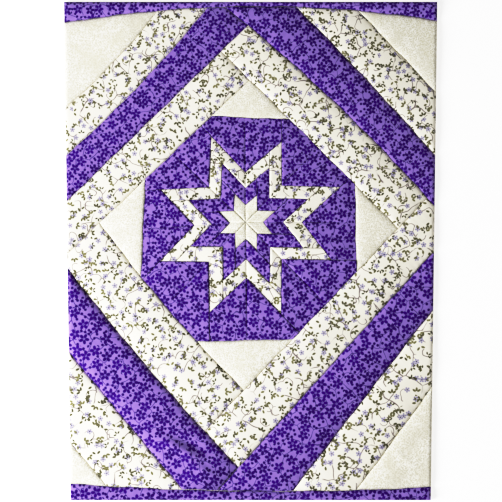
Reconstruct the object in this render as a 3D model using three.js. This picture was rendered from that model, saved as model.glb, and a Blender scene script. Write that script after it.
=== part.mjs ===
import * as THREE from 'three';

// Sizes of the panel in millimetres; the back lies at height zero and +Y points to the head
const HEAD_WIDTH = 374.8;
const FOOT_WIDTH = 361.7;
const PANEL_LENGTH = 500;
const BODY_THICKNESS = 3.0;
const BODY_ROUNDING = 1.0;
const CORNER_RADIUS = 4.0;

// Sizes of the pieced face, which stands clear of the body
const GAP = 0.3;
const EDGE_MARGIN = 1.2;
const FACE_LEVEL = BODY_THICKNESS + GAP;
const SEAM_HEIGHT = 0.6;
const PUFF_WIDTH = 5.0;

// Sizes of the folded star, whose rounds lie like scales with their folds toward the middle
const FOLD_RISE = 2.3;
const FOLD_FALL = 0.5;
const FOLD_NOSE = 0.35;
const FOLD_WIDTH = 0.6;
const SLIT_DEPTH = 0.7;
const SLIT_WIDTH = 1.2;
const OUTER_ROUND = 4;
const STAR_CENTRE = new THREE.Vector2(-4.8, 29.0);

// Colours of the cloths
const CLOTHS = {
  backing: { color: 0xece6d6, roughness: 0.95 },
  cream: { color: 0xf1ecdd, roughness: 0.9 },
  violet: { color: 0x6b45b0, roughness: 0.9 },
  floral: { color: 0xe6e0cd, roughness: 0.9 },
};

// Seams: turn is the way out from the star, out the distance there, slope and bow bend the line
const SEAMS = {
  ne0: { turn: 45, out: 104.0, slope: 0.0, bow: -0.5 },
  ne1: { turn: 45, out: 148.0, slope: 0.012, bow: -3.0 },
  ne2: { turn: 45, out: 185.7, slope: -0.038, bow: -1.5 },
  ne3: { turn: 45, out: 227.5, slope: -0.025, bow: 0.0 },
  nw0: { turn: 135, out: 100.5, slope: -0.023, bow: 0.0 },
  nw1: { turn: 135, out: 139.6, slope: -0.014, bow: 0.0 },
  nw2: { turn: 135, out: 172.3, slope: 0.005, bow: 4.0 },
  nw3: { turn: 135, out: 206.5, slope: 0.0, bow: 7.0 },
  sw0: { turn: 225, out: 116.2, slope: -0.08, bow: -3.8 },
  sw1: { turn: 225, out: 169.6, slope: -0.092, bow: -2.2 },
  sw2: { turn: 225, out: 220.5, slope: -0.0955, bow: 0.0 },
  sw3: { turn: 225, out: 276.8, slope: -0.099, bow: 0.0 },
  se0: { turn: 315, out: 115.0, slope: 0.024, bow: 0.0 },
  se1: { turn: 315, out: 159.8, slope: 0.05, bow: 0.0 },
  se2: { turn: 315, out: 203.7, slope: 0.127, bow: 0.0 },
  se3: { turn: 315, out: 251.2, slope: 0.1535, bow: 0.0 },
  e: { turn: 0, out: 110.1, slope: 0.0154, bow: 0.0 },
  n: { turn: 90, out: 104.7, slope: -0.0435, bow: 0.0 },
  w: { turn: 180, out: 102.3, slope: -0.043, bow: 0.0 },
  s: { turn: 270, out: 118.6, slope: 0.024, bow: 0.0 },
  top: { turn: 90, out: 215.9, slope: 0.011, bow: -4.4 },
  foot: { turn: 270, out: 269.3, slope: -0.011, bow: -1.8 },
};

// Patches around the star: sides run counter-clockwise, and a minus marks a patch beyond that seam
const PATCHES = [
  { name: 'window_n', cloth: 'cream', puff: 2.4, sides: 'ne0 nw0 -n' },
  { name: 'window_w', cloth: 'cream', puff: 2.4, sides: '-w nw0 sw0' },
  { name: 'window_s', cloth: 'cream', puff: 2.4, sides: 'se0 -s sw0' },
  { name: 'window_e', cloth: 'cream', puff: 2.4, sides: 'se0 ne0 -e' },
  { name: 'strip_floral_inner_sw', cloth: 'floral', puff: 3.2, sides: '-sw0 nw0 left sw1 se0' },
  { name: 'strip_floral_inner_nw', cloth: 'floral', puff: 3.2, sides: '-nw0 ne0 nw1 left' },
  { name: 'strip_floral_inner_ne', cloth: 'floral', puff: 3.2, sides: 'ne1 nw1 -ne0 se0' },
  { name: 'strip_floral_inner_se', cloth: 'floral', puff: 3.2, sides: 'se1 right ne1 -se0 sw1' },
  { name: 'strip_violet_sw', cloth: 'violet', puff: 3.2, sides: '-sw1 left sw2 foot se1' },
  { name: 'strip_violet_nw', cloth: 'violet', puff: 3.0, sides: '-nw1 ne1 top nw2 left' },
  { name: 'strip_violet_ne', cloth: 'violet', puff: 3.2, sides: 'ne2 top -ne1 right' },
  { name: 'strip_violet_se', cloth: 'violet', puff: 3.2, sides: 'se2 right -se1 foot' },
  { name: 'strip_floral_outer_sw', cloth: 'floral', puff: 3.4, sides: '-sw2 left sw3 foot' },
  { name: 'strip_floral_outer_nw', cloth: 'floral', puff: 3.0, sides: '-nw2 top nw3 left' },
  { name: 'strip_floral_outer_ne', cloth: 'floral', puff: 3.2, sides: 'ne3 top -ne2 right' },
  { name: 'strip_floral_outer_se', cloth: 'floral', puff: 3.4, sides: 'se3 right -se2 foot' },
  { name: 'corner_cream_sw', cloth: 'cream', puff: 3.0, sides: '-sw3 left foot' },
  { name: 'corner_cream_nw', cloth: 'cream', puff: 3.2, sides: '-nw3 top left' },
  { name: 'corner_cream_ne', cloth: 'cream', puff: 3.2, sides: 'right top -ne3' },
  { name: 'corner_cream_se', cloth: 'cream', puff: 3.2, sides: 'right -se3 foot' },
  { name: 'border_violet_head', cloth: 'violet', puff: 2.6, sides: '-top right head left' },
  { name: 'border_violet_foot', cloth: 'violet', puff: 2.6, sides: '-foot left toe right' },
];

// Folds: tip radii of the second to fourth round on each axis, and how the two edges turn there
const FOLDS = [
  { name: 'e', axis: 0, swing: 0.0, tips: [17.6, 37.6, 56.4], left: -2.5, right: -7.2 },
  { name: 'ne', axis: 45, swing: 0.3, tips: [16.1, 33.8, 51.3], left: 0.0, right: -1.5 },
  { name: 'n', axis: 90, swing: 0.3, tips: [17.2, 34.2, 49.8], left: -1.6, right: -5.0 },
  { name: 'nw', axis: 135, swing: 1.5, tips: [16.1, 34.5, 50.6], left: 2.8, right: -2.7 },
  { name: 'w', axis: 180, swing: 3.7, tips: [15.8, 34.3, 51.5], left: 1.3, right: -1.9 },
  { name: 'sw', axis: 225, swing: 2.0, tips: [15.3, 33.8, 54.2], left: 0.9, right: -0.8 },
  { name: 's', axis: 270, swing: 0.9, tips: [16.9, 37.0, 55.7], left: -1.2, right: -1.9 },
  { name: 'se', axis: 315, swing: -0.6, tips: [16.1, 35.1, 51.6], left: -0.9, right: -0.8 },
];
const OCTAGON = ['e', 'ne0', 'n', 'nw0', 'w', 'sw0', 's', 'se0'];
const ROUNDS = [
  { round: 2, name: 'star_violet_inner', cloth: 'violet' },
  { round: 3, name: 'star_floral', cloth: 'floral' },
  { round: 4, name: 'star_violet_outer', cloth: 'violet' },
];

// Lines: a seam, fold or edge is a distance out from the star that changes along the line
const part = new THREE.Group();
part.name = 'star_quilt_panel';

function direction(degrees) {
  const angle = THREE.MathUtils.degToRad(degrees);
  return new THREE.Vector2(Math.cos(angle), Math.sin(angle));
}

function straight(from, to) {
  const along = to.clone().sub(from).normalize();
  const normal = new THREE.Vector2(along.y, -along.x);
  const turn = THREE.MathUtils.radToDeg(Math.atan2(normal.y, normal.x));
  const out = from.clone().sub(STAR_CENTRE).dot(normal);
  return { turn, out, slope: 0, bow: 0 };
}

function throughPoint(point, turn) {
  const out = point.clone().sub(STAR_CENTRE).dot(direction(turn));
  return { turn, out, slope: 0, bow: 0 };
}

function reach(line, s) {
  return line.out + (line.shift ?? 0) + line.slope * s + line.bow * (s / 100) ** 2;
}

function along(line, point) {
  return point.clone().sub(STAR_CENTRE).dot(direction(line.turn - 90));
}

function depth(line, point) {
  return reach(line, along(line, point)) - point.clone().sub(STAR_CENTRE).dot(direction(line.turn));
}

function pointOn(line, s) {
  const normal = direction(line.turn);
  const tangent = direction(line.turn - 90);
  return STAR_CENTRE.clone().addScaledVector(normal, reach(line, s)).addScaledVector(tangent, s);
}

function between(line, from, to, f) {
  return pointOn(line, THREE.MathUtils.lerp(along(line, from), along(line, to), f));
}

function blend({ near, far, start, finish }, a, b) {
  return near(a).multiplyScalar(1 - b)
    .addScaledVector(far(a), b)
    .addScaledVector(start(b), 1 - a)
    .addScaledVector(finish(b), a)
    .addScaledVector(near(0), -(1 - a) * (1 - b))
    .addScaledVector(near(1), -a * (1 - b))
    .addScaledVector(far(0), -(1 - a) * b)
    .addScaledVector(far(1), -a * b);
}

function gradient(line, point) {
  const small = 0.001;
  const east = depth(line, new THREE.Vector2(point.x + small, point.y));
  const north = depth(line, new THREE.Vector2(point.x, point.y + small));
  const here = depth(line, point);
  return new THREE.Vector2((east - here) / small, (north - here) / small);
}

function crossing(a, b) {
  const point = STAR_CENTRE.clone();
  for (let step = 0; step < 16; step += 1) {
    const ga = gradient(a, point);
    const gb = gradient(b, point);
    const da = depth(a, point);
    const db = depth(b, point);
    const scale = ga.x * gb.y - ga.y * gb.x;
    point.x -= (da * gb.y - db * ga.y) / scale;
    point.y -= (ga.x * db - gb.x * da) / scale;
  }
  return point;
}

// The panel's own edges, between its four corners
const headLeft = new THREE.Vector2(-HEAD_WIDTH / 2, PANEL_LENGTH / 2);
const headRight = new THREE.Vector2(HEAD_WIDTH / 2, PANEL_LENGTH / 2);
const footLeft = new THREE.Vector2(-FOOT_WIDTH / 2, -PANEL_LENGTH / 2);
const footRight = new THREE.Vector2(FOOT_WIDTH / 2, -PANEL_LENGTH / 2);
const EDGES = {
  left: straight(headLeft, footLeft),
  toe: straight(footLeft, footRight),
  right: straight(footRight, headRight),
  head: straight(headRight, headLeft),
};

function sideOf(word) {
  const beyond = word.startsWith('-');
  const name = beyond ? word.slice(1) : word;
  if (name in EDGES) {
    return { ...EDGES[name], shift: -EDGE_MARGIN };
  }
  return { ...SEAMS[name], shift: beyond ? GAP / 2 : -GAP / 2 };
}

// Closed bodies: a top of shaped points, straight sides and a flat underside
function addBody(name, cloth, cells, outline, underside) {
  const points = [];
  const found = new Map();
  const index = (x, y, z) => {
    const key = `${x.toFixed(4)} ${y.toFixed(4)} ${z.toFixed(4)}`;
    if (!found.has(key)) {
      found.set(key, points.length / 3);
      points.push(x, y, z);
    }
    return found.get(key);
  };
  const faces = [];
  const top = (p) => index(p.x, p.y, FACE_LEVEL + p.h);
  const below = (p) => index(p.x, p.y, FACE_LEVEL);
  cells.forEach(([a, b, c, d]) => {
    faces.push(top(a), top(b), top(c));
    faces.push(top(a), top(c), top(d));
  });
  outline.forEach((p, i) => {
    const q = outline[(i + 1) % outline.length];
    faces.push(below(p), below(q), top(q));
    faces.push(below(p), top(q), top(p));
  });
  underside.forEach(([a, b, c]) => {
    faces.push(below(a), below(c), below(b));
  });
  addMesh(name, cloth, points, faces);
}

function addMesh(name, cloth, points, faces) {
  const geometry = new THREE.BufferGeometry();
  geometry.setAttribute('position', new THREE.Float32BufferAttribute(points, 3));
  geometry.setIndex(faces);
  geometry.computeVertexNormals();
  const { color, roughness } = CLOTHS[cloth];
  const material = new THREE.MeshStandardMaterial({ color, roughness, metalness: 0 });
  const mesh = new THREE.Mesh(geometry, material);
  mesh.name = name;
  part.add(mesh);
}

function tile(grid, flip) {
  const cells = [];
  for (let i = 0; i + 1 < grid.length; i += 1) {
    for (let j = 0; j + 1 < grid[i].length; j += 1) {
      const cell = [grid[i][j], grid[i + 1][j], grid[i + 1][j + 1], grid[i][j + 1]];
      cells.push(flip ? cell.reverse() : cell);
    }
  }
  return cells;
}

function fan(apex, loop) {
  return loop.slice(0, -1).map((point, i) => [apex, point, loop[i + 1]]);
}

function ladder([a, endA, c, endC]) {
  const last = a.length - 1;
  const triangles = [
    ...fan(a[last - 1], [...endA, c[1]]),
    ...fan(c[last - 1], [...endC, a[1]]),
  ];
  for (let k = 1; k < last - 1; k += 1) {
    triangles.push([a[k], a[k + 1], c[last - k - 1]]);
    triangles.push([a[k], c[last - k - 1], c[last - k]]);
  }
  return triangles;
}

// The body of batting and backing, a flat slab with a rolled rim
function rimLoop(inset, height) {
  const inner = (corner, sideA, sideB) => {
    const a = { ...sideA, shift: -inset - CORNER_RADIUS };
    const b = { ...sideB, shift: -inset - CORNER_RADIUS };
    return [crossing(a, b), corner];
  };
  const centres = [
    inner(0, EDGES.right, EDGES.head),
    inner(90, EDGES.head, EDGES.left),
    inner(180, EDGES.left, EDGES.toe),
    inner(270, EDGES.toe, EDGES.right),
  ];
  return centres.flatMap(([centre, start]) => [0, 30, 60, 90].map((swing) => {
    const p = centre.clone().addScaledVector(direction(start + swing), CORNER_RADIUS);
    return [p.x, p.y, height];
  }));
}

function addQuiltBody() {
  const loops = [
    rimLoop(BODY_ROUNDING, 0),
    rimLoop(0, BODY_ROUNDING),
    rimLoop(0, BODY_THICKNESS - BODY_ROUNDING),
    rimLoop(BODY_ROUNDING, BODY_THICKNESS),
  ];
  const count = loops[0].length;
  const last = (loops.length - 1) * count;
  const faces = [];
  for (let row = 0; row + 1 < loops.length; row += 1) {
    for (let i = 0; i < count; i += 1) {
      const a = row * count + i;
      const b = row * count + (i + 1) % count;
      faces.push(a, b, b + count);
      faces.push(a, b + count, a + count);
    }
  }
  for (let i = 1; i + 1 < count; i += 1) {
    faces.push(0, i + 1, i);
    faces.push(last, last + i, last + i + 1);
  }
  addMesh('quilt_body', 'backing', loops.flat(2), faces);
}

// Puffed patches: each corner has its own grid, which is finer toward the seams
const SEAM_GRADING = 1.5;

function graded(steps) {
  return Array.from({ length: steps + 1 }, (_, k) => (k / steps) ** SEAM_GRADING);
}

function halfSteps(length) {
  return Math.max(4, Math.min(7, Math.round(length / 50) + 2));
}

function puffedHeight(sides, puff, point) {
  const rise = sides.reduce((product, side) => {
    return product * (1 - Math.exp(-Math.abs(depth(side, point)) / PUFF_WIDTH));
  }, puff);
  return SEAM_HEIGHT + rise;
}

function addPatch({ name, cloth, puff, sides: words }) {
  const sides = words.split(' ').map(sideOf);
  const count = sides.length;
  const previous = (i) => (i + count - 1) % count;
  const corners = sides.map((side, i) => crossing(sides[previous(i)], side));
  const onSide = (i, f) => between(sides[i], corners[i], corners[(i + 1) % count], f);
  const middles = sides.map((side, i) => onSide(i, 0.5));
  const lengths = sides.map((side, i) => corners[i].distanceTo(corners[(i + 1) % count]));
  const steps = sides.map((side, i) => {
    const alike = lengths.filter((length, j) => count !== 4 || (i - j) % 2 === 0);
    return halfSteps(Math.max(...alike));
  });
  const centre = new THREE.Vector2();
  middles.forEach((middle) => centre.addScaledVector(middle, 2 / count));
  corners.forEach((corner) => centre.addScaledVector(corner, -1 / count));

  const shaped = (point) => ({ x: point.x, y: point.y, h: puffedHeight(sides, puff, point) });
  const grids = corners.map((corner, i) => {
    const back = previous(i);
    const borders = {
      near: (a) => onSide(i, a / 2),
      far: (a) => middles[back].clone().lerp(centre, a),
      start: (b) => onSide(back, 1 - b / 2),
      finish: (b) => middles[i].clone().lerp(centre, b),
    };
    return graded(steps[i]).map((a) => graded(steps[back]).map((b) => shaped(blend(borders, a, b))));
  });
  const cells = grids.flatMap((grid) => tile(grid, false));
  const borders = grids.map((grid, i) => {
    const toMiddle = grid.slice(0, -1).map((row) => row[0]);
    const toCorner = [...grids[(i + 1) % count][0]].reverse();
    return [...toMiddle, ...toCorner];
  });
  const outline = borders.flatMap((border) => border.slice(0, -1));
  const underside = count === 4 ? ladder(borders) : fan(shaped(centre), [...outline, outline[0]]);
  addBody(name, cloth, cells, outline, underside);
}

// Folded points: two arms meet along a slit, and the next round's folds lie over their far sides
const ARM_STEPS = [0, 0.06, 0.3, 0.65, 1];
const BAND_STEPS = [0, 0.05, 0.2, 0.6, 1];

function fold(round, k, hand) {
  const row = FOLDS[(k + FOLDS.length) % FOLDS.length];
  const tip = STAR_CENTRE.clone().addScaledVector(direction(row.axis + row.swing), row.tips[round - 2]);
  const edge = row.axis + 45 * hand + (hand > 0 ? row.left : row.right);
  return throughPoint(tip, edge + 90 * hand);
}

function over(line) {
  return { ...line, shift: -GAP / 2 };
}

function under(line) {
  return { ...line, shift: GAP / 2 };
}

function addFoldedPiece(name, cloth, arms, outer) {
  const slit = straight(arms[0].tip, arms[0].outTip);
  const height = (arm, point) => {
    const fromFold = Math.abs(depth(arm.own, point));
    const toNext = Math.abs(depth(arm.next, point));
    const nose = FOLD_NOSE + (1 - FOLD_NOSE) * (1 - Math.exp(-fromFold / FOLD_WIDTH));
    const fall = outer
      ? 1 - Math.exp(-toNext / PUFF_WIDTH)
      : 1 - FOLD_FALL * fromFold / (fromFold + toNext);
    const groove = 1 - SLIT_DEPTH * Math.exp(-Math.abs(depth(slit, point)) / SLIT_WIDTH);
    return SEAM_HEIGHT + FOLD_RISE * nose * fall * groove;
  };
  const grids = arms.map((arm) => {
    const borders = {
      near: (u) => between(arm.own, arm.tip, arm.farOwn, u),
      far: (u) => between(arm.next, arm.outTip, arm.farOut, u),
      start: (v) => arm.tip.clone().lerp(arm.outTip, v),
      finish: (v) => between(arm.end, arm.farOwn, arm.farOut, v),
    };
    return ARM_STEPS.map((u) => BAND_STEPS.map((v) => {
      const point = blend(borders, u, v);
      return { x: point.x, y: point.y, h: height(arm, point) };
    }));
  });
  const slitHeights = grids[0][0].map((p, j) => Math.min(p.h, grids[1][0][j].h));
  grids.forEach((grid) => grid[0].forEach((p, j) => {
    p.h = slitHeights[j];
  }));
  const [left, right] = grids;
  const cells = [...tile(left, true), ...tile(right, false)];
  const ownSide = (grid) => grid.map((row) => row[0]);
  const nextSide = (grid) => grid.map((row) => row[row.length - 1]);
  const endSide = (grid) => grid[grid.length - 1];
  const back = (list) => [...list].reverse();
  const rightLoop = [ownSide(right), endSide(right), back(nextSide(right)), back(right[0])];
  const leftLoop = [nextSide(left), back(endSide(left)), back(ownSide(left)), left[0]];
  const ends = (loop) => [loop[0].at(0), loop[0].at(-1), loop[2].at(0), loop[2].at(-1)];
  const slitEnds = (loop) => [loop[0], loop[1], loop[2], [ends(loop)[3], ends(loop)[0]]];
  const outline = [...rightLoop.slice(0, 3), ...leftLoop.slice(0, 3)].flatMap((list) => list.slice(0, -1));
  const underside = [...ladder(slitEnds(rightLoop)), ...ladder(slitEnds(leftLoop))];
  addBody(name, cloth, cells, outline, underside);
}

function addCentrePiece(k) {
  const row = FOLDS[k];
  const ray = (hand) => over(throughPoint(STAR_CENTRE, row.axis + 45 * hand + 90 * hand));
  const tip = crossing(ray(1), ray(-1));
  const outTip = crossing(under(fold(2, k, 1)), under(fold(2, k, -1)));
  const arms = [1, -1].map((hand) => {
    const own = ray(hand);
    const next = under(fold(2, k, hand));
    const end = under(fold(2, k + hand, -hand));
    return { own, next, end, tip, outTip, farOwn: crossing(own, end), farOut: crossing(next, end) };
  });
  addFoldedPiece(`star_cream_${row.name}`, 'cream', arms, false);
}

function addPoint({ round, name, cloth }, k) {
  const row = FOLDS[k];
  const outer = round === OUTER_ROUND;
  const left = over(fold(round, k, 1));
  const right = over(fold(round, k, -1));
  const rightEnd = under(fold(round, k - 1, 1));
  const tip = crossing(left, right);
  const slit = throughPoint(tip, row.axis + row.swing + 90);
  const rim = outer ? sideOf(OCTAGON[k]) : null;
  const nextLeft = outer ? rim : under(fold(round + 1, k, 1));
  const nextRight = outer ? rim : under(fold(round + 1, k, -1));
  const leftEnd = outer
    ? sideOf(OCTAGON[(k + 1) % OCTAGON.length])
    : under(fold(round + 1, k + 1, -1));
  const outTip = outer ? crossing(slit, rim) : crossing(nextLeft, nextRight);
  const arm = (own, next, end) => {
    return { own, next, end, tip, outTip, farOwn: crossing(own, end), farOut: crossing(next, end) };
  };
  const arms = [arm(left, nextLeft, leftEnd), arm(right, nextRight, rightEnd)];
  addFoldedPiece(`${name}_${row.name}`, cloth, arms, outer);
}

addQuiltBody();
[0, 2, 4, 6].forEach(addCentrePiece);
ROUNDS.forEach((round) => FOLDS.forEach((row, k) => addPoint(round, k)));
PATCHES.forEach(addPatch);

export default part;
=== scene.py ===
import math
from collections import namedtuple

import bpy
import numpy as np
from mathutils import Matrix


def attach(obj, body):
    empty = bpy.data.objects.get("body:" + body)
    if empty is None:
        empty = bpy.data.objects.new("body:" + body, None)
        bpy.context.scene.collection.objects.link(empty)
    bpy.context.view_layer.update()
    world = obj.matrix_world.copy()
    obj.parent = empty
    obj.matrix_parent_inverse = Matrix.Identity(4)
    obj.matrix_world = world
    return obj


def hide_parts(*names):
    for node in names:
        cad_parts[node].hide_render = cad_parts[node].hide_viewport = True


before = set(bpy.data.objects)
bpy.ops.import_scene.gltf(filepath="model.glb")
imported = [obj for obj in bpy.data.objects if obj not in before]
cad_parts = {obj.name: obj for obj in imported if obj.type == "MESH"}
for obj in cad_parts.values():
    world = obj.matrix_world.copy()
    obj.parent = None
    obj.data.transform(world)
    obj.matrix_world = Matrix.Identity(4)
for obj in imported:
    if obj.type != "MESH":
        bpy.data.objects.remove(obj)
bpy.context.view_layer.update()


# Camera. It looks straight down on the middle of the panel, with the head of the panel up.
# The picture is 0.502 m across at the height of the cloth's face, so a pixel is a millimetre.

MM = 0.001
PICTURE_WIDTH = 502 * MM
PICTURE_MIDDLE = (0.4 * MM, 0.0)
FACE_HEIGHT = 6 * MM
CAMERA_HEIGHT = 1.6

camera_data = bpy.data.cameras.new("camera")
camera_data.sensor_width = 36
camera_data.lens = camera_data.sensor_width * CAMERA_HEIGHT / PICTURE_WIDTH
camera = bpy.data.objects.new("camera", camera_data)
camera.location = (*PICTURE_MIDDLE, FACE_HEIGHT + CAMERA_HEIGHT)
bpy.context.scene.collection.objects.link(camera)
bpy.context.scene.camera = camera


# Quilt body: a thin layer of batting with a plain cotton backing, which carries the whole face.
# It is one flat slab, 3 mm thick, with a rolled rim and soft grooves where the quilting pulls in.

HEAD_WIDTH = 374.8
FOOT_WIDTH = 361.7
PANEL_LENGTH = 500.0
BODY_THICKNESS = 3.0
BODY_ROUNDING = 1.0
CORNER_RADIUS = 4.0
STAR_CENTRE = np.array([-4.8, 29.0])
BOW_REACH = 100.0
LONG_RIPPLE = 9.0
SHORT_RIPPLE = 3.7

# A seam or an edge: turn is the way out from the star in degrees, and the rest shapes it in mm
Line = namedtuple("Line", "turn out slope bow ripple shift", defaults=(0.0, 0.0, 0.0, 0.0))


def unit(degrees):
    """The unit vector at an angle from +X."""
    return np.array([math.cos(math.radians(degrees)), math.sin(math.radians(degrees))])


def reach(line, s):
    """Distance of a line from the star at the place s along it: out and shift, plus slope times s,
    plus bow times the square of s in units of the bow's reach, plus ripple times the sum of a long
    wave and half of a short one."""
    waves = np.sin(s / LONG_RIPPLE + line.out) + 0.5 * np.sin(s / SHORT_RIPPLE + 2 * line.out)
    bowed = line.bow * (s / BOW_REACH) ** 2
    return line.out + line.shift + line.slope * s + bowed + line.ripple * waves


def place_along(line, points):
    """How far along the line each point lies: its offset from the star times the line's tangent."""
    return (points - STAR_CENTRE) @ unit(line.turn - 90)


def depth(line, points):
    """How far inside the line each point lies: the line's reach less the point's own distance."""
    return reach(line, place_along(line, points)) - (points - STAR_CENTRE) @ unit(line.turn)


def on_line(line, s):
    """The points of a line: the star's centre, plus the line's reach along its normal, plus s along
    its tangent."""
    s = np.asarray(s, float)[..., None]
    return STAR_CENTRE + reach(line, s) * unit(line.turn) + s * unit(line.turn - 90)


def between(line, start, end, share):
    """The points of a line at a share of the way from one of its points to another."""
    first, last = place_along(line, start), place_along(line, end)
    return on_line(line, first + (last - first) * np.asarray(share, float))


PROBE = 0.001
CROSSING_ROUNDS = 20


def crossing(a, b):
    """Where two lines cross: starting at the star's centre, the point moves by the two depths'
    linear estimate until both are nil."""
    point = STAR_CENTRE.copy()
    steps = np.array([[0.0, 0.0], [PROBE, 0.0], [0.0, PROBE]])
    for _ in range(CROSSING_ROUNDS):
        near = np.array([depth(a, point + steps), depth(b, point + steps)])
        slopes = (near[:, 1:] - near[:, :1]) / PROBE
        point = point - np.linalg.solve(slopes, near[:, 0])
    return point


def straight(start, end):
    """The straight line through two corners of the panel."""
    along = (end - start) / np.hypot(*(end - start))
    normal = np.array([along[1], -along[0]])
    turn = math.degrees(math.atan2(normal[1], normal[0]))
    return Line(turn, float((start - STAR_CENTRE) @ normal))


corners = {
    (side, end): np.array([side * width / 2, end * PANEL_LENGTH / 2])
    for end, width in ((1, HEAD_WIDTH), (-1, FOOT_WIDTH))
    for side in (-1, 1)
}
EDGES = {
    "left": straight(corners[-1, 1], corners[-1, -1]),
    "toe": straight(corners[-1, -1], corners[1, -1]),
    "right": straight(corners[1, -1], corners[1, 1]),
    "head": straight(corners[1, 1], corners[-1, 1]),
}

# Seams of the face, from the star outward. Each is the side of one patch and of its neighbour.
SEAM_RIPPLE = 0.3
SEAM_TABLE = {
    # seam: turn, out, slope, bow
    "ne0": (45, 104.0, 0.0, -0.5),
    "ne1": (45, 148.0, 0.012, -3.0),
    "ne2": (45, 185.7, -0.038, -1.5),
    "ne3": (45, 227.5, -0.025, 0.0),
    "nw0": (135, 100.5, -0.023, 0.0),
    "nw1": (135, 139.6, -0.014, 0.0),
    "nw2": (135, 172.3, 0.005, 4.0),
    "nw3": (135, 206.5, 0.0, 7.0),
    "sw0": (225, 116.2, -0.08, -3.8),
    "sw1": (225, 169.6, -0.092, -2.2),
    "sw2": (225, 220.5, -0.0955, 0.0),
    "sw3": (225, 276.8, -0.099, 0.0),
    "se0": (315, 115.0, 0.024, 0.0),
    "se1": (315, 159.8, 0.05, 0.0),
    "se2": (315, 203.7, 0.127, 0.0),
    "se3": (315, 251.2, 0.1535, 0.0),
    "e": (0, 110.1, 0.0154, 0.0),
    "n": (90, 104.7, -0.0435, 0.0),
    "w": (180, 102.3, -0.043, 0.0),
    "s": (270, 118.6, 0.024, 0.0),
    "top": (90, 215.9, 0.011, -4.4),
    "foot": (270, 269.3, -0.011, -1.8),
}
SEAMS = {name: Line(*row, SEAM_RIPPLE) for name, row in SEAM_TABLE.items()}


WELD_STEPS = 10000


def weld(*soups):
    """Joins loose faces: corners that are equal when rounded to steps of a millimetre become one
    vertex. Each soup is faces by corners by xyz."""
    flat = np.concatenate([soup.reshape(-1, 3) for soup in soups])
    steps = np.round(flat * WELD_STEPS).astype(np.int64)
    _, first, index = np.unique(steps, axis=0, return_index=True, return_inverse=True)
    index = index.ravel()
    faces, start = [], 0
    for soup in soups:
        count, sides = soup.shape[:2]
        faces.append(index[start:start + count * sides].reshape(count, sides))
        start += count * sides
    return flat[first], faces


def cells_of(grid):
    """The four-cornered faces of a grid of points, in the order that turns from rows to columns."""
    around = [grid[:-1, :-1], grid[1:, :-1], grid[1:, 1:], grid[:-1, 1:]]
    return np.stack(around, 2).reshape(-1, 4, 3)


# The print is drawn larger toward the foot, as the piecing is: by 3.5% over 100 mm
PRINT_GROWTH = 0.035 / 100


def new_piece(name, soups, print_turn=0.0, print_start=(0.0, 0.0)):
    """Makes a piece of faces in millimetres. Its cloth map is the place in metres, turned, moved
    and divided by the print's growth at the middle of the piece."""
    points, faces = weld(*soups)
    mesh = bpy.data.meshes.new(name)
    corner_points = np.concatenate([block.ravel() for block in faces])
    sides = np.concatenate([np.full(len(block), block.shape[1]) for block in faces])
    mesh.vertices.add(len(points))
    mesh.loops.add(len(corner_points))
    mesh.polygons.add(len(sides))
    mesh.vertices.foreach_set("co", (points * MM).ravel())
    mesh.loops.foreach_set("vertex_index", corner_points)
    mesh.polygons.foreach_set("loop_start", np.concatenate([[0], np.cumsum(sides)[:-1]]))
    mesh.polygons.foreach_set("use_smooth", np.ones(len(sides), bool))
    mesh.update(calc_edges=True)
    across, up = unit(print_turn), unit(print_turn + 90)
    flat = points[corner_points][:, :2]
    growth = 1 - PRINT_GROWTH * points[:, 1].mean()
    cloth = np.stack([flat @ across + print_start[0], flat @ up + print_start[1]], 1) * MM / growth
    mesh.uv_layers.new(name="cloth").data.foreach_set("uv", cloth.ravel())
    mesh.validate()
    piece = bpy.data.objects.new(name, mesh)
    bpy.context.scene.collection.objects.link(piece)
    return piece


def linear(code):
    """Turns an sRGB hex colour into the linear colour that shaders take."""
    parts = [int(code[i:i + 2], 16) / 255 for i in (1, 3, 5)]
    return (*[c / 12.92 if c <= 0.04045 else ((c + 0.055) / 1.055) ** 2.4 for c in parts], 1.0)


def put(tree, kind, inputs=(), out=0, **settings):
    """Adds one shader node with its settings and inputs, which are values or links, and gives one
    of its outputs. Inputs are a list in the node's own order, where None skips one, or by name."""
    node = tree.nodes.new("ShaderNode" + kind)
    for key, value in settings.items():
        setattr(node, key, value)
    for place, value in inputs.items() if isinstance(inputs, dict) else enumerate(inputs):
        if isinstance(value, bpy.types.NodeSocket):
            tree.links.new(value, node.inputs[place])
        elif value is not None:
            node.inputs[place].default_value = value
    return node.outputs[out] if node.outputs else None


def new_material(name):
    """An empty material with its node tree and the cloth map, in metres."""
    material = bpy.data.materials.new(name)
    material.use_nodes = True
    material.node_tree.nodes.clear()
    return material, material.node_tree, put(material.node_tree, "UVMap", uv_map="cloth")


THREAD_PITCH = 1.8 * MM


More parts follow.
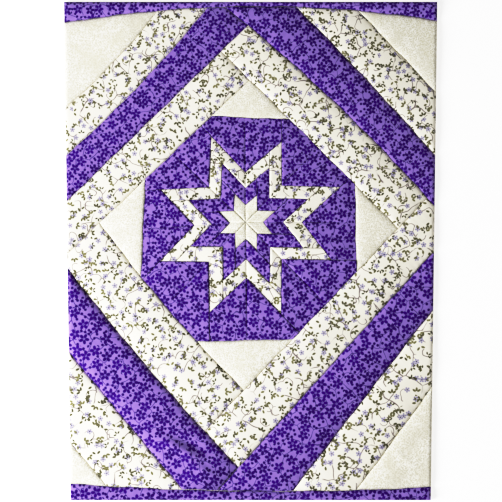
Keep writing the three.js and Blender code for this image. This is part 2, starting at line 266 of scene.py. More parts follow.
def finish_cotton(tree, cloth, colour):
    """Plain-woven cotton: a matte shader with a little sheen, fine raised threads both ways and a
    soft rumple. Real threads lie 0.35 mm apart, and they are drawn wider so that they can show. A
    wave texture draws 20 radians to a unit, so its scale is pi over 10 over the pitch."""
    scale = math.pi / 10 / THREAD_PITCH
    warp = put(tree, "TexWave", {"Vector": cloth, "Scale": scale}, out=1)
    weft = put(tree, "TexWave", {"Vector": cloth, "Scale": scale}, out=1, bands_direction="Y")
    threads = put(tree, "Math", [warp, weft], operation="ADD")
    slubs = put(tree, "TexNoise", {"Vector": cloth, "Scale": 900.0, "Detail": 2.0})
    woven = put(tree, "Math", [threads, slubs], operation="ADD")
    fine = put(tree, "Bump", {"Strength": 0.25, "Distance": 0.08 * MM, "Height": woven})
    rumple = put(tree, "TexNoise", {"Vector": cloth, "Scale": 90.0, "Detail": 3.0})
    soft = put(tree, "Bump", {
        "Strength": 0.25, "Distance": 1.2 * MM, "Height": rumple, "Normal": fine,
    })
    shader = put(tree, "BsdfPrincipled", {
        "Base Color": colour, "Roughness": 0.9, "Sheen Weight": 0.02,
        "Sheen Roughness": 0.5, "Specular IOR Level": 0.05, "Normal": soft,
    })
    put(tree, "OutputMaterial", [shader])


# Plain unbleached cotton, woven and washed: a matte off-white with faint uneven slubs
backing_cotton, tree, cloth = new_material("plain woven cotton backing")
tone = put(tree, "TexNoise", {"Vector": cloth, "Scale": 60.0, "Detail": 3.0})
colour = put(tree, "MixRGB", [tone, linear("#E9E3D3"), linear("#DED6C3")])
finish_cotton(tree, cloth, colour)

RIM_POINTS = 720
CORNER_POINTS = 8
RIM_SWEEP = 75
RIM_STEPS = 7
BACK_ROWS = 70
HUB_SHARE = 0.004
ROW_SPREAD = 0.8
TOP_STRIDE = 9
GROOVE_DEPTH = 0.7
GROOVE_WIDTH = 3.0


def rim_outline(inset):
    """The panel's outline as one closed loop of evenly spaced points: four sides, moved in by the
    inset, with quarter circles between them."""
    pull = -inset - CORNER_RADIUS
    names = ("right", "head", "left", "toe")
    loops = []
    for i, name in enumerate(names):
        after = names[(i + 1) % len(names)]
        centre = crossing(EDGES[name]._replace(shift=pull), EDGES[after]._replace(shift=pull))
        swing = np.radians(90 * i + np.linspace(0, 90, CORNER_POINTS))
        loops.append(centre + CORNER_RADIUS * np.stack([np.cos(swing), np.sin(swing)], 1))
    knots = np.concatenate([*loops, loops[0][:1]])
    lengths = np.concatenate([[0], np.cumsum(np.hypot(*np.diff(knots, axis=0).T))])
    places = np.linspace(0, lengths[-1], RIM_POINTS + 1)
    return np.stack([np.interp(places, lengths, knots[:, k]) for k in (0, 1)], 1)


def back_height(points):
    """Height of the back: the highest over the seams of groove depth times
    exp(-(depth / groove width)^2), which is nil away from the quilting."""
    lift = np.zeros(points.shape[:-1])
    for line in SEAMS.values():
        groove = GROOVE_DEPTH * np.exp(-(depth(line, points) / GROOVE_WIDTH) ** 2)
        lift = np.maximum(lift, groove)
    return lift


outer = rim_outline(0)
inner = rim_outline(BODY_ROUNDING)
rows = [share * inner for share in np.linspace(HUB_SHARE, 1, BACK_ROWS) ** ROW_SPREAD]
rim_angles = np.radians(np.linspace(-RIM_SWEEP, RIM_SWEEP, RIM_STEPS))
under = [np.concatenate([row, back_height(row)[:, None]], 1) for row in rows]
rim = [
    np.concatenate([
        inner + (outer - inner) * math.cos(angle),
        np.full((len(outer), 1), BODY_THICKNESS / 2 * (1 + math.sin(angle))),
    ], 1)
    for angle in rim_angles
]
above = [
    np.concatenate([row, np.full((len(row), 1), BODY_THICKNESS)], 1) for row in rows[::-TOP_STRIDE]
]
body_grid = np.stack(under + rim + above)
# The back's last row lies flat on the table, so no groove runs out through the rim
body_grid[len(under) - 1, :, 2] = 0.0
caps = []
for loop, flip in ((body_grid[0], True), (body_grid[-1], False)):
    loop_middle = np.broadcast_to(loop[:-1].mean(0), loop[:-1].shape)
    edge = (loop[1:], loop[:-1]) if flip else (loop[:-1], loop[1:])
    caps.append(np.stack([loop_middle, *edge], 1))
body_cells = cells_of(body_grid)[:, ::-1]
quilt_body = new_piece("quilt_body_cloth", [body_cells, np.concatenate(caps)])
quilt_body.data.materials.append(backing_cotton)
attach(quilt_body, "root")
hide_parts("quilt_body")


# Window triangles: four pieces of cream cotton with a tone-on-tone print, which turn the star's
# octagon into a square on point. They are sewn in along three seams and puff up between them.

GAP = 0.3
EDGE_MARGIN = 0.4
FACE_LEVEL = BODY_THICKNESS + GAP
SEAM_HEIGHT = 0.6
WINDOW_ROLL = 5.0
EDGE_ROLL = 1.2
CREASE_SHARE = 0.35
CREASE_WIDTH = 0.9
PATCH_STEP = 1.5
STEP_SPREAD = 1.6
PRINT_SEED = 7
PRINT_REACH = 400
face_pieces = []


def blend(near, far, start, finish, a, b):
    """A grid inside four border curves: near to far by b, plus start to finish by a, less the
    two-way mean of the corners. The borders are functions of a share from nil to one."""
    a, b = np.asarray(a)[:, None], np.asarray(b)[None, :]
    wa, wb = a[..., None], b[..., None]
    ends = [near(np.array([0.0, 1.0])), far(np.array([0.0, 1.0]))]
    grid = (1 - wb) * near(a) + wb * far(a) + (1 - wa) * start(b) + wa * finish(b)
    grid = grid - (1 - wb) * ((1 - wa) * ends[0][0] + wa * ends[0][1])
    return grid - wb * ((1 - wa) * ends[1][0] + wa * ends[1][1])


def toward(start, end):
    """The straight border from one point to another, as a function of the share of the way."""
    return lambda share: start + (end - start) * np.asarray(share, float)[..., None]


def side_of(word):
    """The line that a word names: a minus means that the patch lies beyond that seam."""
    name = word.lstrip("-")
    if name in EDGES:
        return EDGES[name]._replace(shift=-EDGE_MARGIN)
    return SEAMS[name]._replace(shift=GAP / 2 if word.startswith("-") else -GAP / 2)


# Uneven padding: a few long waves that run in random ways under the whole face
PAD_DRIFT = 0.45
WAVE_COUNT = 9
SHORTEST_WAVE = 22
LONGEST_WAVE = 75
waves = np.random.default_rng(41)
WAVE_WAYS = waves.uniform(0, 2 * math.pi, WAVE_COUNT)
WAVE_LENGTHS = waves.uniform(SHORTEST_WAVE, LONGEST_WAVE, WAVE_COUNT)
WAVE_STARTS = waves.uniform(0, 2 * math.pi, WAVE_COUNT)


def drift(points):
    """Slow unevenness of the padding: the sum of the sine waves over the root of their number."""
    ways = np.stack([np.cos(WAVE_WAYS), np.sin(WAVE_WAYS)]) * (2 * math.pi / WAVE_LENGTHS)
    return np.sin(points @ ways + WAVE_STARTS).sum(-1) / math.sqrt(WAVE_COUNT)


# Puckers: gathers 9 mm long, which come closer and further apart along the seam
PUCKER_HEIGHT = 0.16
PUCKER_LENGTH = 1.4
PUCKER_SWAY = 2.2
PUCKER_SWAY_LENGTH = 6.1
PUCKER_FADE = 6.0
PUCKER_START = 1.5


def pucker(line, points):
    """Small gathers across a seam: the sine of s / length plus a swaying start, where s is the
    place along the seam, times exp(-depth / fade), times 1 - exp(-depth / start)."""
    s, d = place_along(line, points), np.abs(depth(line, points))
    sway = PUCKER_SWAY * np.sin(s / PUCKER_SWAY_LENGTH + line.out)
    wave = np.sin(s / PUCKER_LENGTH + sway + line.out)
    return wave * np.exp(-d / PUCKER_FADE) * (1 - np.exp(-d / PUCKER_START))


# Soft wrinkles that the cloth has fallen into: the middle, the way they run, half length, half
# width and height, in millimetres
WRINKLES = (
    # x, y, way, half length, half width, height
    (-68.0, -198.5, -24, 20, 5.0, 3.0),
    (-64.5, -190.0, -24, 20, 5.0, -3.0),
    (-46.0, -219.0, -30, 14, 4.0, 1.8),
    (-56.0, -216.0, -62, 34, 12.0, 1.8),
    (152.0, -206.0, -38, 16, 2.5, 0.5),
    (-166.0, 120.0, 40, 20, 4.0, 0.4),
    (-120.0, 176.0, 55, 16, 5.0, 0.5),
)


def wrinkled(points):
    """Height of the wrinkles: the sum over them of height times exp(-(a / half length)^2 -
    (b / half width)^2), where a runs along the wrinkle and b across it."""
    lift = np.zeros(points.shape[:-1])
    for x, y, way, half_length, half_width, height in WRINKLES:
        away = points - np.array([x, y])
        a, b = away @ unit(way) / half_length, away @ unit(way + 90) / half_width
        lift = lift + height * np.exp(-a ** 2 - b ** 2)
    return lift


SEAM_TUCK = 0.5
SEAM_TUCK_WIDTH = 0.45


def puffed(sides, puff, roll, points):
    """Height of a padded patch over its lowest level: puff times the product over its sides of one
    less a broad and a narrow exp(-depth / width), plus drift, wrinkles and puckers, less a tight
    tuck along the nearest side. A cut side has no ripple: it rolls tighter and has no puckers."""
    rise = np.full(points.shape[:-1], puff)
    gathers = np.zeros(points.shape[:-1])
    nearest = np.full(points.shape[:-1], np.inf)
    for side in sides:
        inside = np.abs(depth(side, points))
        broad = np.exp(-inside / (roll if side.ripple else EDGE_ROLL))
        narrow = np.exp(-inside / CREASE_WIDTH)
        rise = rise * (1 - (1 - CREASE_SHARE) * broad - CREASE_SHARE * narrow)
        nearest = np.minimum(nearest, inside)
        if side.ripple:
            gathers = gathers + pucker(side, points)
    soft = (PAD_DRIFT * drift(points) + wrinkled(points)) * rise / puff + PUCKER_HEIGHT * gathers
    tuck = SEAM_TUCK * np.exp(-nearest / SEAM_TUCK_WIDTH)
    return SEAM_HEIGHT + rise + soft - tuck


def raised(points, heights):
    """Puts heights over the face's lowest level under flat points."""
    return np.concatenate([points, (FACE_LEVEL + heights)[..., None]], -1)


def underside(borders):
    """The flat underside: strips between two long borders and fans at the ends, or one fan."""
    if len(borders) != 4:
        loop = np.concatenate([border[:-1] for border in borders])
        middle = np.broadcast_to(loop.mean(0), loop.shape)
        return np.stack([middle, np.roll(loop, -1, 0), loop], 1)
    a, end_a, c, end_c = borders
    back = c[::-1]
    fan_a = [np.broadcast_to(a[-2], end_a[1:].shape), end_a[1:], end_a[:-1]]
    fan_c = [np.broadcast_to(c[-2], end_c[1:].shape), end_c[1:], end_c[:-1]]
    strips = [
        np.stack([a[:-1], back[:-1], back[1:]], 1)[1:-1],
        np.stack([a[:-1], back[1:], a[1:]], 1)[1:-1],
    ]
    caps = np.array([[a[-2], c[1], c[0]], [c[-2], a[1], a[0]]])
    return np.concatenate([np.stack(fan_a, 1), np.stack(fan_c, 1), *strips, caps])


def lowered(border):
    """The points of a border, put down at the face's lowest level."""
    return np.concatenate([border[:, :2], np.full((len(border), 1), FACE_LEVEL)], 1)


def walls_under(borders):
    """Straight walls from the borders down to the face's lowest level."""
    return np.concatenate([
        np.stack([down[:-1], down[1:], border[1:], border[:-1]], 1)
        for down, border in zip(map(lowered, borders), borders)
    ])


def add_face_piece(name, soups, print_turn, material):
    """Makes one piece of the face, cut from a random place of its printed cloth."""
    start = np.random.default_rng(len(face_pieces) + PRINT_SEED).uniform(0, PRINT_REACH, 2)
    piece = new_piece(name + "_cloth", soups, print_turn, start)
    piece.data.materials.append(material)
    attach(piece, "root")
    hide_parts(name)
    face_pieces.append(piece)


def add_patch(name, puff, roll, sides, print_turn, material):
    """Makes one sewn patch: a grid at each of its corners, out to the middles of its sides, with
    the finer steps along the seams."""
    sides = [side_of(word) for word in sides.split()]
    count = len(sides)
    corner = [crossing(sides[i - 1], sides[i]) for i in range(count)]
    lengths = [np.hypot(*(corner[(i + 1) % count] - corner[i])) for i in range(count)]
    alike = 2 if count == 4 else 1
    steps = [math.ceil(max(lengths[i % alike::alike]) / 2 / PATCH_STEP) for i in range(count)]
    whole = [
        lambda share, i=i: between(sides[i], corner[i], corner[(i + 1) % count], share)
        for i in range(count)
    ]
    half = [side(0.5) for side in whole]
    centre = 2 * np.mean(half, 0) - np.mean(corner, 0)
    grids = []
    for i in range(count):
        last = i - 1
        flat = blend(
            lambda share: whole[i](share / 2),
            toward(half[last], centre),
            lambda share: whole[last](1 - share / 2),
            toward(half[i], centre),
            np.linspace(0, 1, steps[i] + 1) ** STEP_SPREAD,
            np.linspace(0, 1, steps[last] + 1) ** STEP_SPREAD,
        )
        grids.append(raised(flat, puffed(sides, puff, roll, flat)))
    borders = [
        np.concatenate([grids[i][:-1, 0], grids[(i + 1) % count][0, ::-1]])
        for i in range(count)
    ]
    shell = np.concatenate([*[cells_of(grid) for grid in grids], walls_under(borders)])
    flat_side = underside([lowered(border) for border in borders])
    add_face_piece(name, [shell, flat_side], print_turn, material)


# Cream cotton printed in its own tone: a matte warm white, mottled with small paler squiggles
cream_cotton, tree, cloth = new_material("tone on tone printed cream cotton")
wander = put(tree, "TexNoise", {"Vector": cloth, "Scale": 430.0, "Detail": 1.0})
squiggle = put(tree, "Math", [wander, 0.5], operation="SUBTRACT")
squiggle = put(tree, "Math", [squiggle], operation="ABSOLUTE")
squiggle = put(tree, "MapRange", [squiggle, 0.0, 0.1, 1.0, 0.0])
broad = put(tree, "TexNoise", {"Vector": cloth, "Scale": 45.0, "Detail": 2.0})
broad = put(tree, "MapRange", [broad, 0.3, 0.6, 0.4, 1.0])
pattern = put(tree, "Math", [squiggle, broad], operation="MULTIPLY")
colour = put(tree, "MixRGB", [pattern, linear("#CFCAB3"), linear("#FFFDF3")])
finish_cotton(tree, cloth, colour)

WINDOWS = (
    # name, puff, sides, turn of the print
    ("window_n", 2.4, "ne0 nw0 -n", 10),
    ("window_w", 2.4, "-w nw0 sw0", 100),
    ("window_s", 2.4, "se0 -s sw0", 190),
    ("window_e", 2.4, "se0 ne0 -e", 280),
)
for name, puff, sides, turn in WINDOWS:
    add_patch(name, puff, WINDOW_ROLL, sides, turn, cream_cotton)


# Floral strips: two rings of four padded strips of cream cotton with a small print of olive leaf
# sprays and grey-lilac blossoms on thin stems. Each strip laps the end of the one before it.

CREAM_GROUND = "#EDE8D7"
LEAF_DARK = "#44432E"
LEAF_LIGHT = "#726F4C"
BLOSSOM = "#8E88A9"
BLOSSOM_DARK = "#453C64"
STEM = "#5F5258"
SPRAY_PITCH = 10.2 * MM
TWIG_PITCH = 13.0 * MM
BLOSSOM_PITCH = 11.8 * MM
CURL_PITCH = 19.0 * MM
CURL_RADIUS = 5.0 * MM
STEM_PITCH = 21 * MM
FLORAL_ROLL = 7.0


def scattered(tree, cloth, pitch, looseness, start):
    """Loose cells with one motif each, on the cloth map moved by the start: distance from the
    cell's middle, angle after a random turn, from -pi to pi, and two random numbers of the cell."""
    moved = put(tree, "VectorMath", [cloth, (start, 0.7 * start, 0)], operation="ADD")
    place = put(tree, "TexVoronoi", {"Vector": moved, "Scale": 1 / pitch, "Randomness": looseness},
                out="Position", voronoi_dimensions="2D")
    away = put(tree, "VectorMath", [moved, place], operation="SUBTRACT")
    x = put(tree, "SeparateXYZ", [away])
    distance = put(tree, "VectorMath", [away], out="Value", operation="LENGTH")
    angle = put(tree, "Math", [x.node.outputs["Y"], x], operation="ARCTAN2")
    chance = put(tree, "SeparateColor", [place.node.outputs["Color"]])
    turned = put(tree, "Math", [chance, 2 * math.pi, angle], operation="MULTIPLY_ADD")
    turned = put(tree, "Math", [turned, math.pi, -math.pi], operation="WRAP")
    return distance, turned, chance.node.outputs["Green"], chance.node.outputs["Blue"]


def oval(tree, distance, angle, centre, length, width, crisp):
    """An oval that points outward at angle nil: crisp times 1 - ((x - centre) / half length)^2 -
    (y / half width)^2, held between nil and one."""
    cos = put(tree, "Math", [angle], operation="COSINE")
    sin = put(tree, "Math", [angle], operation="SINE")
    x = put(tree, "Math", [distance, cos], operation="MULTIPLY")
    y = put(tree, "Math", [distance, sin], operation="MULTIPLY")
    x = put(tree, "Math", [x, -centre], operation="ADD")
    x = put(tree, "Math", [x, 2 / length], operation="MULTIPLY")
    y = put(tree, "Math", [y, 2 / width], operation="MULTIPLY")
    x = put(tree, "Math", [x, x], operation="MULTIPLY")
    total = put(tree, "Math", [y, y, x], operation="MULTIPLY_ADD")
    inside = put(tree, "Math", [1.0, total], operation="SUBTRACT")
    return put(tree, "Math", [inside, crisp], operation="MULTIPLY", use_clamp=True)


def bent_map(tree, cloth, scale, push):
    """The cloth map pushed about: the map, plus push times a slow noise's colour less a half."""
    bend = put(tree, "TexNoise", {"Vector": cloth, "Scale": scale, "Detail": 1.0}, out="Color")
    bend = put(tree, "VectorMath", [bend, (0.5, 0.5, 0.5)], operation="SUBTRACT")
    bend = put(tree, "VectorMath", {0: bend, "Scale": push}, operation="SCALE")
    return put(tree, "VectorMath", [cloth, bend], operation="ADD")


def stem_lines(tree, bent, pitch, crisp, soft, strength):
    """Thin lines along the edges of loose cells: full strength up to crisp from the edge and nil
    from soft on, both as shares of the pitch."""
    edge = put(tree, "TexVoronoi", {"Vector": bent, "Scale": 1 / pitch, "Randomness": 1.0},
               voronoi_dimensions="2D", feature="DISTANCE_TO_EDGE")
    return put(tree, "MapRange", [edge, crisp, soft, strength, 0.0])


def ahead(tree, angle, spread):
    """One where the angle lies within the spread, in degrees, to either side of nil, else nil."""
    off_axis = put(tree, "Math", [angle], operation="ABSOLUTE")
    return put(tree, "Math", [off_axis, math.radians(spread)], operation="LESS_THAN")


# Floral print on cream cotton: a matte warm cream, sparsely dotted with olive and a little lilac
floral_cotton, tree, cloth = new_material("leaf and blossom printed cream cotton")
bent = bent_map(tree, cloth, 70.0, 9 * MM)

# Stems: soft lines under 1.5 mm wide, broken up by a slow noise
stems = stem_lines(tree, bent, STEM_PITCH, 0.012, 0.034, 0.95)
breaks = put(tree, "TexNoise", {"Vector": cloth, "Scale": 55.0, "Detail": 1.0})
breaks = put(tree, "MapRange", [breaks, 0.46, 0.54, 0.0, 1.0])
stems = put(tree, "Math", [stems, breaks], operation="MULTIPLY")

# Curls: stems bent to a little more than half of a circle
distance, angle, _, _ = scattered(tree, bent, CURL_PITCH, 0.9, 0.33)
curl = put(tree, "Math", [distance, CURL_RADIUS], operation="SUBTRACT")
curl = put(tree, "Math", [curl], operation="ABSOLUTE")
curl = put(tree, "MapRange", [curl, 0.2 * MM, 0.6 * MM, 0.95, 0.0])
curl = put(tree, "Math", [curl, ahead(tree, angle, 100)], operation="MULTIPLY")
stems = put(tree, "Math", [stems, curl], operation="MAXIMUM")

# Leaf sprays: three leaves 54 degrees apart, and in about half of the sprays only the outer two
distance, angle, chance, shade = scattered(tree, cloth, SPRAY_PITCH, 0.9, 0.13)
leaf_angle = put(tree, "Math", [angle, math.radians(27), math.radians(-27)], operation="WRAP")
leaves = oval(tree, distance, leaf_angle, 2.8 * MM, 4.4 * MM, 2.5 * MM, 2.4)
side_leaf = put(tree, "Math", [1.0, ahead(tree, angle, 27)], operation="SUBTRACT")
has_middle = put(tree, "Math", [chance, 0.55], operation="LESS_THAN")
kept = put(tree, "Math", [side_leaf, has_middle], operation="MAXIMUM")
kept = put(tree, "Math", [kept, ahead(tree, angle, 81)], operation="MULTIPLY")
leaves = put(tree, "Math", [leaves, kept], operation="MULTIPLY")

# Twigs: three smaller leaves, 70 degrees apart, between the sprays
distance, angle, chance, _ = scattered(tree, cloth, TWIG_PITCH, 1.0, 0.47)
leaf_angle = put(tree, "Math", [angle, math.radians(35), math.radians(-35)], operation="WRAP")
twigs = oval(tree, distance, leaf_angle, 2.2 * MM, 3.4 * MM, 1.9 * MM, 2.2)
chosen = put(tree, "Math", [chance, 0.75], operation="LESS_THAN")
kept = put(tree, "Math", [ahead(tree, angle, 105), chosen], operation="MULTIPLY")
twigs = put(tree, "Math", [twigs, kept], operation="MULTIPLY")

# Blossoms: five round petals, 6 mm across, with a dark dot in the middle
distance, angle, chance, _ = scattered(tree, cloth, BLOSSOM_PITCH, 1.0, 0.81)
petal_angle = put(tree, "Math", [angle, math.pi / 5, -math.pi / 5], operation="WRAP")
petals = oval(tree, distance, petal_angle, 1.8 * MM, 2.5 * MM, 2.3 * MM, 1.5)
dot = oval(tree, distance, angle, 0.0, 1.9 * MM, 1.9 * MM, 1.6)
present = put(tree, "Math", [chance, 0.8], operation="LESS_THAN")
petals = put(tree, "Math", [petals, present], operation="MULTIPLY")
dot = put(tree, "Math", [dot, present], operation="MULTIPLY")

leaf_tone = put(tree, "MixRGB", [shade, linear(LEAF_DARK), linear(LEAF_LIGHT)])
colour = put(tree, "MixRGB", [stems, linear(CREAM_GROUND), linear(STEM)])
colour = put(tree, "MixRGB", [petals, colour, linear(BLOSSOM)])
colour = put(tree, "MixRGB", [dot, colour, linear(BLOSSOM_DARK)])
colour = put(tree, "MixRGB", [twigs, colour, linear(LEAF_DARK)])
colour = put(tree, "MixRGB", [leaves, colour, leaf_tone])
finish_cotton(tree, cloth, colour)

FLORAL_STRIPS = (
    # name, puff, sides, turn of the print
    ("strip_floral_inner_sw", 3.6, "-sw0 nw0 left sw1 se0", 40),
    ("strip_floral_inner_nw", 3.6, "-nw0 ne0 nw1 left", 135),
    ("strip_floral_inner_ne", 3.6, "ne1 nw1 -ne0 se0", 230),
    ("strip_floral_inner_se", 3.6, "se1 right ne1 -se0 sw1", 315),
    ("strip_floral_outer_sw", 3.4, "-sw2 left sw3 foot", 55),
    ("strip_floral_outer_nw", 3.0, "-nw2 top nw3 left", 120),
    ("strip_floral_outer_ne", 3.2, "ne3 top -ne2 right", 215),
    ("strip_floral_outer_se", 3.4, "se3 right -se2 foot", 300),
)
for name, puff, sides, turn in FLORAL_STRIPS:
    add_patch(name, puff, FLORAL_ROLL, sides, turn, floral_cotton)


# Violet strips and borders: four padded strips between the floral rings, and a bowed border at the
# head and the foot, in violet calico with dark five-petalled flowers and round buds.

VIOLET_GROUND = "#795CA9"
VIOLET_LIGHT = "#8F74C0"
VIOLET_DARK = "#28005A"
VIOLET_FLOWER = "#34006E"
VIOLET_MIDDLE = "#441A7C"
FLOWER_PITCH = 11.9 * MM
BUD_PITCH = 4.7 * MM
BUD_FREE = 4.8 * MM
TENDRIL_PITCH = 12.5 * MM
VIOLET_ROLL = 8.0

# Violet calico: a deep, busy violet, where a paler mottled ground shows between dark flowers
violet_calico, tree, cloth = new_material("violet calico printed cotton")
mottle = put(tree, "TexNoise", {"Vector": cloth, "Scale": 160.0, "Detail": 2.0})
ground = put(tree, "MixRGB", [mottle, linear(VIOLET_GROUND), linear(VIOLET_LIGHT)])

# Tendrils: soft bent lines about 1 mm wide between the flowers
bent = bent_map(tree, cloth, 90.0, 8 * MM)
tendrils = stem_lines(tree, bent, TENDRIL_PITCH, 0.012, 0.045, 0.9)

# Flowers: five oval petals 5 mm long round a small paler eye, about 11 mm across
distance, angle, _, shade = scattered(tree, cloth, FLOWER_PITCH, 0.5, 0.21)
petal_angle = put(tree, "Math", [angle, math.pi / 5, -math.pi / 5], operation="WRAP")
petals = oval(tree, distance, petal_angle, 3.0 * MM, 4.8 * MM, 3.4 * MM, 3.0)
clear = put(tree, "Math", [distance, BUD_FREE], operation="GREATER_THAN")
eye = oval(tree, distance, angle, 0.0, 1.6 * MM, 1.6 * MM, 1.0)

# Buds: round dots 3 mm across, left out close to the middle of a flower
distance, angle, chance, _ = scattered(tree, cloth, BUD_PITCH, 0.8, 0.57)
buds = oval(tree, distance, angle, 0.0, 3.1 * MM, 3.1 * MM, 2.6)
chosen = put(tree, "Math", [chance, 0.85], operation="LESS_THAN")
chosen = put(tree, "Math", [chosen, clear], operation="MULTIPLY")
buds = put(tree, "Math", [buds, chosen], operation="MULTIPLY")

flower_tone = put(tree, "MixRGB", [shade, linear(VIOLET_DARK), linear(VIOLET_FLOWER)])
colour = put(tree, "MixRGB", [tendrils, ground, linear(VIOLET_DARK)])
colour = put(tree, "MixRGB", [buds, colour, linear(VIOLET_DARK)])
colour = put(tree, "MixRGB", [petals, colour, flower_tone])
colour = put(tree, "MixRGB", [eye, colour, linear(VIOLET_MIDDLE)])
finish_cotton(tree, cloth, colour)

VIOLET_STRIPS = (
    # name, puff, sides, turn of the print
    ("strip_violet_sw", 7.0, "-sw1 left sw2 foot se1", 50),
    ("strip_violet_nw", 3.6, "-nw1 ne1 top nw2 left", 140),
    ("strip_violet_ne", 3.8, "ne2 top -ne1 right", 220),
    ("strip_violet_se", 3.8, "se2 right -se1 foot", 310),
    ("border_violet_head", 5.0, "-top right head left", 5),
    ("border_violet_foot", 5.0, "-foot left toe right", 185),
)
for name, puff, sides, turn in VIOLET_STRIPS:
    add_patch(name, puff, VIOLET_ROLL, sides, turn, violet_calico)


# Corner pieces: the same cream cotton as the windows, sewn along the outermost strips.

CORNER_ROLL = 6.0
CORNERS = (
    # name, puff, sides, turn of the print
    ("corner_cream_sw", 3.0, "-sw3 left foot", 60),
    ("corner_cream_nw", 3.2, "-nw3 top left", 130),
    ("corner_cream_ne", 3.2, "right top -ne3", 200),
    ("corner_cream_se", 3.2, "right -se3 foot", 320),
)
for name, puff, sides, turn in CORNERS:
    add_patch(name, puff, CORNER_ROLL, sides, turn, cream_cotton)


# Folded star: 28 squares of the three cottons, each folded to a point and tacked with the point
# toward the middle. Each round's folds lie over the round inside it, and each piece has a slit.

FOLD_RISE = 2.3
FOLD_FALL = 0.65
RIM_FALL = 0.6
RIM_ROLL = 5.0
FOLD_NOSE = 0.35
FOLD_WIDTH = 0.6
SLIT_DEPTH = 0.75
SLIT_WIDTH = 0.9
TUCK_DEPTH = 0.6
TUCK_WIDTH = 0.8
STAR_DRIFT = 0.12
STAR_DRIFT_SCALE = 2.2
STAR_STEP = 0.8
STAR_SPREAD = 1.15
TINY = 1e-9
FOLD_TURN = 45
PRINT_TURN = 20
SECOND_ROUND = 2
OUTER_ROUND = 4
OCTAGON = ("e", "ne0", "n", "nw0", "w", "sw0", "s", "se0")
Fold = namedtuple("Fold", "name axis swing tips left right")
FOLDS = (
    # name, axis, its swing, tip radii of rounds two to four, swing of the left and right edge
    Fold("e", 0, 0.0, (17.6, 37.6, 56.4), -2.5, -7.2),
    Fold("ne", 45, 0.3, (16.1, 33.8, 51.3), 0.0, -1.5),
    Fold("n", 90, 0.3, (17.2, 34.2, 49.8), -1.6, -5.0),
    Fold("nw", 135, 1.5, (16.1, 34.5, 50.6), 2.8, -2.7),
    Fold("w", 180, 3.7, (15.8, 34.3, 51.5), 1.3, -1.9),
    Fold("sw", 225, 2.0, (15.3, 33.8, 54.2), 0.9, -0.8),
    Fold("s", 270, 0.9, (16.9, 37.0, 55.7), -1.2, -1.9),
    Fold("se", 315, -0.6, (16.1, 35.1, 51.6), -0.9, -0.8),
)
# Half of a folded piece: its own fold, the next round's fold, the line where it ends, and the
# inner and outer end of its slit and of its far side
Arm = namedtuple("Arm", "own next end tip out_tip far_own far_out")


def through(point, turn, shift=0.0):
    """The straight line through a point with its normal at an angle."""
    return Line(turn, float((point - STAR_CENTRE) @ unit(turn)), shift=shift)


def fold(ring, k, hand, shift):
    """A folded edge: it runs from the tip of piece k of a ring at about 45 degrees to the axis, on
    the left for a hand of one and on the right for minus one."""
    row = FOLDS[k % len(FOLDS)]
    tip = STAR_CENTRE + row.tips[ring - SECOND_ROUND] * unit(row.axis + row.swing)
    edge = row.axis + FOLD_TURN * hand + (row.left if hand > 0 else row.right)
    return through(tip, edge + 90 * hand, shift)


def folded_height(arm, slit, outer, points):
    """Height of a folded piece: the product of a round nose at its own fold, a straight fall and a
    tuck toward the next round's fold or the octagon's seam, and a groove along its slit, each one
    less a share of exp(-depth / width), plus a little drift."""
    from_fold = np.abs(depth(arm.own, points))
    to_next = np.abs(depth(arm.next, points))
    across = from_fold / (from_fold + to_next + TINY)
    nose = FOLD_NOSE + (1 - FOLD_NOSE) * (1 - np.exp(-from_fold / FOLD_WIDTH))
    if outer:
        fall = (1 - RIM_FALL * across) * (1 - np.exp(-to_next / RIM_ROLL))
    else:
        fall = (1 - FOLD_FALL * across) * (1 - TUCK_DEPTH * np.exp(-to_next / TUCK_WIDTH))
    groove = 1 - SLIT_DEPTH * np.exp(-np.abs(depth(slit, points)) / SLIT_WIDTH)
    uneven = STAR_DRIFT * drift(points * STAR_DRIFT_SCALE)
    return SEAM_HEIGHT + FOLD_RISE * nose * fall * groove + uneven


def add_folded(name, arms, outer, turn, material):
    """Makes one folded piece: two arms that meet along the slit."""
    slit_way = arms[0].out_tip - arms[0].tip
    slit = through(arms[0].tip, math.degrees(math.atan2(slit_way[1], slit_way[0])) + 90)
    band = math.ceil(np.hypot(*slit_way) / STAR_STEP)
    grids = []
    for arm in arms:
        run = math.ceil(np.hypot(*(arm.far_own - arm.tip)) / STAR_STEP)
        flat = blend(
            lambda share: between(arm.own, arm.tip, arm.far_own, share),
            lambda share: between(arm.next, arm.out_tip, arm.far_out, share),
            toward(arm.tip, arm.out_tip),
            lambda share: between(arm.end, arm.far_own, arm.far_out, share),
            np.linspace(0, 1, run + 1) ** STAR_SPREAD,
            np.linspace(0, 1, band + 1) ** STAR_SPREAD,
        )
        grids.append(raised(flat, folded_height(arm, slit, outer, flat)))
    left, right = grids
    left[0, :, 2] = right[0, :, 2] = np.minimum(left[0, :, 2], right[0, :, 2])
    # Each arm's border: a long side, its end, the other long side, and the slit, which has no wall
    loops = [
        [right[:, 0], right[-1], right[::-1, -1], right[0, ::-1]],
        [left[:, -1], left[-1, ::-1], left[::-1, 0], left[0]],
    ]
    walls = [walls_under(loop[:3]) for loop in loops]
    shell = np.concatenate([cells_of(left)[:, ::-1], cells_of(right), *walls])
    flat_sides = np.concatenate([
        underside([*map(lowered, loop[:3]), lowered(loop[3][[0, -1]])]) for loop in loops
    ])
    add_face_piece(name, [shell, flat_sides], turn, material)


def arm_between(own, following, end, tip, out_tip):
    """One arm of a folded piece, with its far corners worked out from its lines."""
    return Arm(own, following, end, tip, out_tip, crossing(own, end), crossing(following, end))


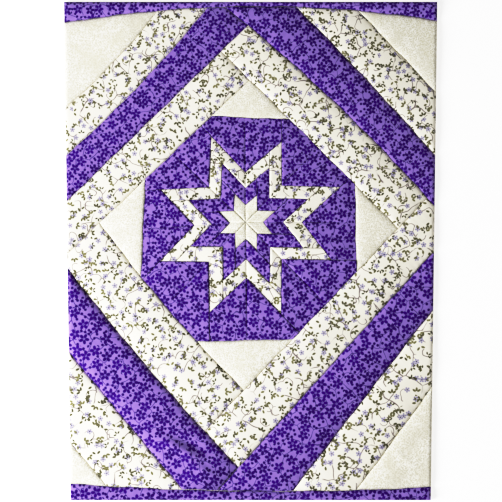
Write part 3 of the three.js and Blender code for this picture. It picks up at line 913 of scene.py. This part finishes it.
# The centre: four pieces that each fill a quarter turn, up to the folds of the second round
for k in range(0, len(FOLDS), 2):
    name, axis = FOLDS[k].name, FOLDS[k].axis
    rays = {
        hand: through(STAR_CENTRE, axis + (FOLD_TURN + 90) * hand, -GAP / 2) for hand in (1, -1)
    }
    following = {hand: fold(SECOND_ROUND, k, hand, GAP / 2) for hand in (1, -1)}
    ends = {hand: fold(SECOND_ROUND, k + hand, -hand, GAP / 2) for hand in (1, -1)}
    tip, out_tip = crossing(rays[1], rays[-1]), crossing(following[1], following[-1])
    arms = [
        arm_between(rays[hand], following[hand], ends[hand], tip, out_tip) for hand in (1, -1)
    ]
    add_folded("star_cream_" + name, arms, False, axis, cream_cotton)

ROUNDS = (
    # ring, name, material, slot
    (2, "star_violet_inner_", violet_calico, "violet"),
    (3, "star_floral_", floral_cotton, "floral"),
    (4, "star_violet_outer_", violet_calico, "violet"),
)
for ring, title, material, slot in ROUNDS:
    for k, row in enumerate(FOLDS):
        outer = ring == OUTER_ROUND
        own = {hand: fold(ring, k, hand, -GAP / 2) for hand in (1, -1)}
        tip = crossing(own[1], own[-1])
        right_end = fold(ring, k - 1, 1, GAP / 2)
        if outer:
            rim_line = side_of(OCTAGON[k])
            following = {1: rim_line, -1: rim_line}
            left_end = side_of(OCTAGON[(k + 1) % len(OCTAGON)])
            out_tip = crossing(through(tip, row.axis + row.swing + 90), rim_line)
        else:
            following = {hand: fold(ring + 1, k, hand, GAP / 2) for hand in (1, -1)}
            left_end = fold(ring + 1, k + 1, -1, GAP / 2)
            out_tip = crossing(following[1], following[-1])
        arms = [
            arm_between(own[1], following[1], left_end, tip, out_tip),
            arm_between(own[-1], following[-1], right_end, tip, out_tip),
        ]
        turn = row.axis + PRINT_TURN * ring
        add_folded(title + row.name, arms, outer, turn, material)


# Floor and light: a plain white table, a broad soft lamp from the left and an even sky. The
# table glows slightly, so that it stays plain white beside the cloth.

FLOOR_REACH = 3.0
FLOOR_DROP = 0.3 * MM
floor_corners = [
    (x * FLOOR_REACH, y * FLOOR_REACH, -FLOOR_DROP)
    for x, y in ((-1, -1), (1, -1), (1, 1), (-1, 1))
]
floor_mesh = bpy.data.meshes.new("floor")
floor_mesh.from_pydata(floor_corners, [], [(0, 1, 2, 3)])
floor = bpy.data.objects.new("floor", floor_mesh)
bpy.context.scene.collection.objects.link(floor)
table_paint = bpy.data.materials.new("matte white table paint")
table_paint.use_nodes = True
table_shader = table_paint.node_tree.nodes["Principled BSDF"]
table_shader.inputs["Base Color"].default_value = linear("#FBFBFB")
table_shader.inputs["Roughness"].default_value = 0.8
table_shader.inputs["Emission Color"].default_value = linear("#FFFFFF")
table_shader.inputs["Emission Strength"].default_value = 0.75
floor_mesh.materials.append(table_paint)

window_data = bpy.data.lights.new("window light", "AREA")
window_data.shape = "RECTANGLE"
window_data.size = 0.5
window_data.size_y = 0.7
window_data.energy = 23.4
window_data.color = (0.98, 0.99, 1.0)
window_light = bpy.data.objects.new("window light", window_data)
window_light.location = (-0.8, -0.3, 0.58)
to_panel = -window_light.location
window_light.rotation_mode = "QUATERNION"
window_light.rotation_quaternion = to_panel.to_track_quat("-Z", "Y")
bpy.context.scene.collection.objects.link(window_light)

sky = bpy.data.worlds.new("even sky")
sky.use_nodes = True
sky.node_tree.nodes["Background"].inputs["Color"].default_value = (1.0, 0.98, 0.95, 1.0)
sky.node_tree.nodes["Background"].inputs["Strength"].default_value = 0.27
bpy.context.scene.world = sky

# The camera's response: light in, tone out. It deepens the darks and rolls off softly to white.
RESPONSE = (
    (0.0, 0.0), (0.1, 0.077), (0.2, 0.172), (0.35, 0.36), (0.7, 0.71), (1.05, 0.885), (2.0, 1.0)
)
view = bpy.context.scene.view_settings
view.view_transform = "Standard"
view.use_curve_mapping = True
view.curve_mapping.white_level = (RESPONSE[-1][0],) * 3
# Of the four curves the last one works on all colours alike
response = view.curve_mapping.curves[3]
for place, (light, tone) in enumerate(RESPONSE):
    if 0 < place < len(RESPONSE) - 1:
        response.points.new(light / RESPONSE[-1][0], tone)
view.curve_mapping.update()
